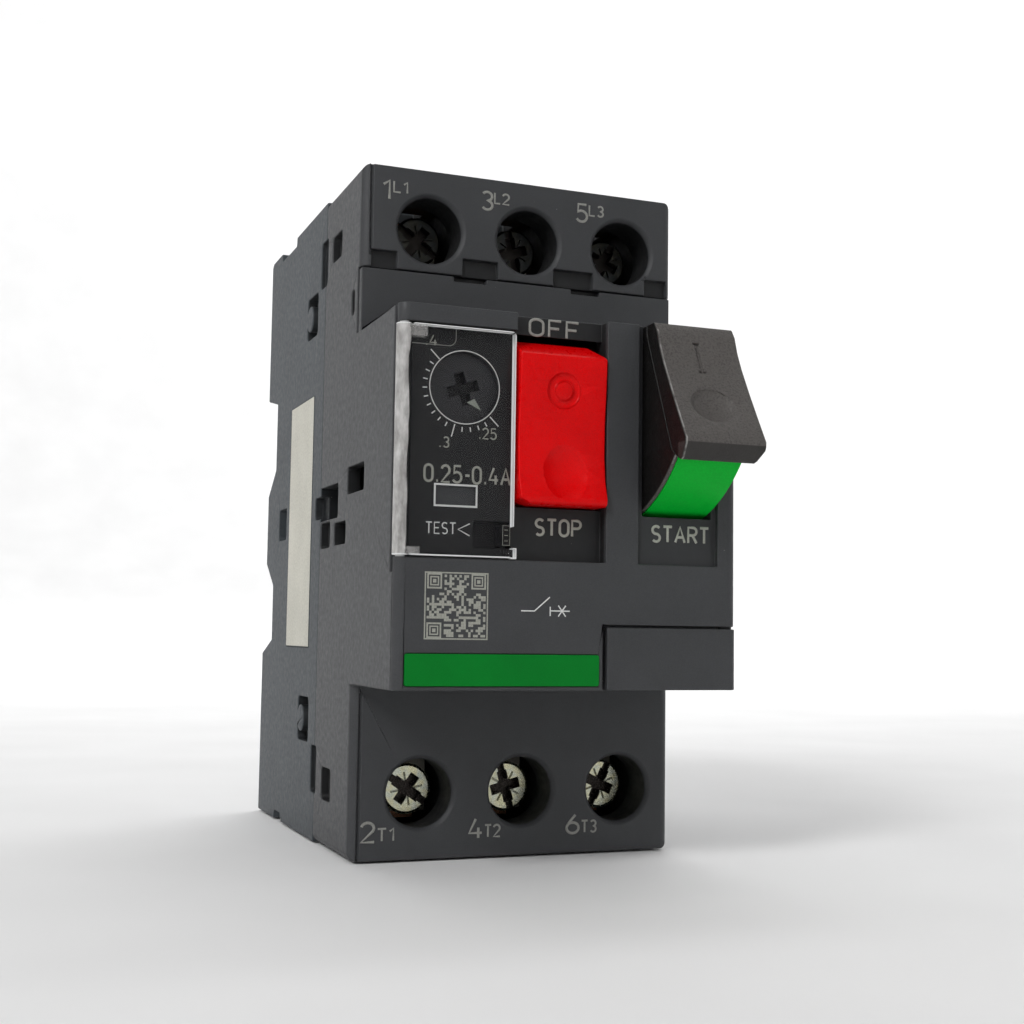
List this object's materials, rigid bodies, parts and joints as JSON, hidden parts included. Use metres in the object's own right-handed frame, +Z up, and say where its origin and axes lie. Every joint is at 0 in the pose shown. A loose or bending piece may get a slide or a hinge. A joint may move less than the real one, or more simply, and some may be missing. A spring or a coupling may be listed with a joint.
{
  "type": "motor protection breaker",
  "caption": "Rail-mounted motor circuit breaker with START and STOP rockers, setting dial under a clear flap, screw terminals and an internal contact and trip mechanism.",
  "frame": {"origin": "middle of the rail seat: half way along the width, on the plane that touches the 35 mm rail's lips, at the rail's centre height", "axes": "+X to the right seen from the front, +Y from the front towards the rail, +Z up"},
  "size_m": [0.0447, 0.0856, 0.089],
  "materials": {
    "housing_grey": "fine eroded texture",
    "base_grey": "fine eroded texture",
    "black_plastic": "coarse grain",
    "red_plastic": "satin",
    "green_plastic": "satin",
    "clear_plastic": "clear with frosted edges",
    "label": "matte film",
    "stripe": "smooth film",
    "ivory_plastic": "smooth",
    "steel": "bright",
    "spring_steel": "drawn wire",
    "zinc": "zinc plated",
    "copper": "tinned edges",
    "bimetal": "rolled strip",
    "fibre": "vulcanised fibre"
  },
  "bodies": {
    "housing": {"rear_base": "base_grey", "main_housing": "housing_grey", "front_cover": "housing_grey", "side_label": "label", "id_stripe": "stripe", "start_pin": "steel", "stop_pin": "steel", "toggle_pin": "steel", "arc_chutes": "fibre", "magnet_yokes": "steel", "heater_windings": "fibre", "return_springs": "spring_steel", "rail_clip_spring": "spring_steel", "line_contact_1": "copper", "line_contact_2": "copper", "line_contact_3": "copper", "load_contact_1": "copper", "load_contact_2": "copper", "load_contact_3": "copper", "load_terminal_1": "copper", "load_terminal_2": "copper", "load_terminal_3": "copper", "trip_coil_1": "copper", "trip_coil_2": "copper", "trip_coil_3": "copper", "bimetal_1": "bimetal", "bimetal_2": "bimetal", "bimetal_3": "bimetal"},
    "blanking": {"blanking_cover": "housing_grey"},
    "flap": {"clear_cover": "clear_plastic"},
    "dial": {"setting_dial": "black_plastic"},
    "setting": {"setting_slide": "black_plastic"},
    "start": {"start_button": "black_plastic", "start_flag": "green_plastic"},
    "stop": {"stop_button": "red_plastic"},
    "toggle": {"toggle_lever": "steel"},
    "carrier": {"contact_carrier": "black_plastic", "contact_springs": "spring_steel", "bridge_1": "copper", "bridge_2": "copper", "bridge_3": "copper"},
    "test": {"test_slider": "black_plastic"},
    "trip": {"trip_bar": "ivory_plastic"},
    "latch": {"latch_lever": "steel"},
    "clip": {"rail_clip": "black_plastic"},
    "plunger_1": {"plunger_1": "steel"},
    "plunger_2": {"plunger_2": "steel"},
    "plunger_3": {"plunger_3": "steel"},
    "line_screw_1": {"line_screw_1": "zinc"},
    "line_clamp_1": {"line_clamp_1": "zinc"},
    "line_screw_2": {"line_screw_2": "zinc"},
    "line_clamp_2": {"line_clamp_2": "zinc"},
    "line_screw_3": {"line_screw_3": "zinc"},
    "line_clamp_3": {"line_clamp_3": "zinc"},
    "load_screw_1": {"load_screw_1": "zinc"},
    "load_clamp_1": {"load_clamp_1": "zinc"},
    "load_screw_2": {"load_screw_2": "zinc"},
    "load_clamp_2": {"load_clamp_2": "zinc"},
    "load_screw_3": {"load_screw_3": "zinc"},
    "load_clamp_3": {"load_clamp_3": "zinc"}
  },
  "joints": [
    {"name": "start_press", "type": "hinge", "parent": "housing", "child": "start", "pos_m": [0.0136, -0.0595, 0.0195], "axis": [1, 0, 0], "range_deg": [0, 20]},
    {"name": "stop_rock", "type": "hinge", "parent": "housing", "child": "stop", "pos_m": [-0.0017, -0.0595, 0.0155], "axis": [1, 0, 0], "range_deg": [-10, 0]},
    {"name": "toggle_turn", "type": "hinge", "parent": "housing", "child": "toggle", "pos_m": [0.003, -0.042, 0.0215], "axis": [1, 0, 0], "range_deg": [-22, 0]},
    {"name": "carrier_slide", "type": "slide", "parent": "housing", "child": "carrier", "axis": [0, -1, 0], "range_m": [0, 0.004], "deforming": ["return_springs"]},
    {"name": "dial_turn", "type": "hinge", "parent": "housing", "child": "dial", "pos_m": [-0.01365, -0.067, 0.0126], "axis": [0, 1, 0], "range_deg": [0, 180]},
    {"name": "setting_shift", "type": "slide", "parent": "housing", "child": "setting", "axis": [0, 0, -1], "range_m": [0, 0.0016]},
    {"name": "flap_open", "type": "hinge", "parent": "housing", "child": "flap", "pos_m": [-0.02145, -0.0673, 0.006], "axis": [0, 0, -1], "range_deg": [0, 110]},
    {"name": "blanking_pull", "type": "slide", "parent": "housing", "child": "blanking", "axis": [0, -1, 0], "range_m": [0, 0.012]},
    {"name": "test_push", "type": "slide", "parent": "housing", "child": "test", "axis": [-1, 0, 0], "range_m": [0, 0.002], "stiffness_N_per_m": 400, "springref_m": -0.001},
    {"name": "trip_slide", "type": "slide", "parent": "housing", "child": "trip", "axis": [-1, 0, 0], "range_m": [0, 0.002]},
    {"name": "latch_turn", "type": "hinge", "parent": "housing", "child": "latch", "pos_m": [0.015, -0.0405, 0.001], "axis": [0, 0, 1], "range_deg": [0, 12]},
    {"name": "clip_pull", "type": "slide", "parent": "housing", "child": "clip", "axis": [0, 0, -1], "range_m": [0, 0.003], "stiffness_N_per_m": 3000, "springref_m": -0.002, "deforming": ["rail_clip_spring"]},
    {"name": "plunger_1_slide", "type": "slide", "parent": "housing", "child": "plunger_1", "axis": [0, -1, 0], "range_m": [0, 0.0025], "stiffness_N_per_m": 250, "springref_m": -0.001},
    {"name": "plunger_2_slide", "type": "slide", "parent": "housing", "child": "plunger_2", "axis": [0, -1, 0], "range_m": [0, 0.0025], "stiffness_N_per_m": 250, "springref_m": -0.001},
    {"name": "plunger_3_slide", "type": "slide", "parent": "housing", "child": "plunger_3", "axis": [0, -1, 0], "range_m": [0, 0.0025], "stiffness_N_per_m": 250, "springref_m": -0.001},
    {"name": "line_screw_1_turn", "type": "hinge", "parent": "housing", "child": "line_screw_1", "pos_m": [-0.013, -0.044, 0.0361], "axis": [0, 1, 0], "range_deg": [0, 1645.7]},
    {"name": "line_clamp_1_lift", "type": "slide", "parent": "housing", "child": "line_clamp_1", "axis": [0, -1, 0], "range_m": [0, 0.0032]},
    {"name": "line_screw_2_turn", "type": "hinge", "parent": "housing", "child": "line_screw_2", "pos_m": [0.0008, -0.044, 0.0361], "axis": [0, 1, 0], "range_deg": [0, 1645.7]},
    {"name": "line_clamp_2_lift", "type": "slide", "parent": "housing", "child": "line_clamp_2", "axis": [0, -1, 0], "range_m": [0, 0.0032]},
    {"name": "line_screw_3_turn", "type": "hinge", "parent": "housing", "child": "line_screw_3", "pos_m": [0.0146, -0.044, 0.0361], "axis": [0, 1, 0], "range_deg": [0, 1645.7]},
    {"name": "line_clamp_3_lift", "type": "slide", "parent": "housing", "child": "line_clamp_3", "axis": [0, -1, 0], "range_m": [0, 0.0032]},
    {"name": "load_screw_1_turn", "type": "hinge", "parent": "housing", "child": "load_screw_1", "pos_m": [-0.013, -0.044, -0.03675], "axis": [0, 1, 0], "range_deg": [0, 1645.7]},
    {"name": "load_clamp_1_lift", "type": "slide", "parent": "housing", "child": "load_clamp_1", "axis": [0, -1, 0], "range_m": [0, 0.0032]},
    {"name": "load_screw_2_turn", "type": "hinge", "parent": "housing", "child": "load_screw_2", "pos_m": [0.0008, -0.044, -0.03675], "axis": [0, 1, 0], "range_deg": [0, 1645.7]},
    {"name": "load_clamp_2_lift", "type": "slide", "parent": "housing", "child": "load_clamp_2", "axis": [0, -1, 0], "range_m": [0, 0.0032]},
    {"name": "load_screw_3_turn", "type": "hinge", "parent": "housing", "child": "load_screw_3", "pos_m": [0.0146, -0.044, -0.03675], "axis": [0, 1, 0], "range_deg": [0, 1645.7]},
    {"name": "load_clamp_3_lift", "type": "slide", "parent": "housing", "child": "load_clamp_3", "axis": [0, -1, 0], "range_m": [0, 0.0032]}
  ],
  "couplings": [
    {"joint": "start_press", "follows": "carrier_slide", "rad_per_m": 87.266},
    {"joint": "stop_rock", "follows": "carrier_slide", "rad_per_m": -43.633},
    {"joint": "toggle_turn", "follows": "carrier_slide", "rad_per_m": -95.992},
    {"joint": "dial_turn", "follows": "setting_shift", "rad_per_m": 1963.5},
    {"joint": "trip_slide", "follows": "test_push", "ratio": 1},
    {"joint": "latch_turn", "follows": "test_push", "rad_per_m": 104.72},
    {"joint": "line_screw_1_turn", "follows": "line_clamp_1_lift", "rad_per_m": 8975.8},
    {"joint": "line_screw_2_turn", "follows": "line_clamp_2_lift", "rad_per_m": 8975.8},
    {"joint": "line_screw_3_turn", "follows": "line_clamp_3_lift", "rad_per_m": 8975.8},
    {"joint": "load_screw_1_turn", "follows": "load_clamp_1_lift", "rad_per_m": 8975.8},
    {"joint": "load_screw_2_turn", "follows": "load_clamp_2_lift", "rad_per_m": 8975.8},
    {"joint": "load_screw_3_turn", "follows": "load_clamp_3_lift", "rad_per_m": 8975.8}
  ]
}
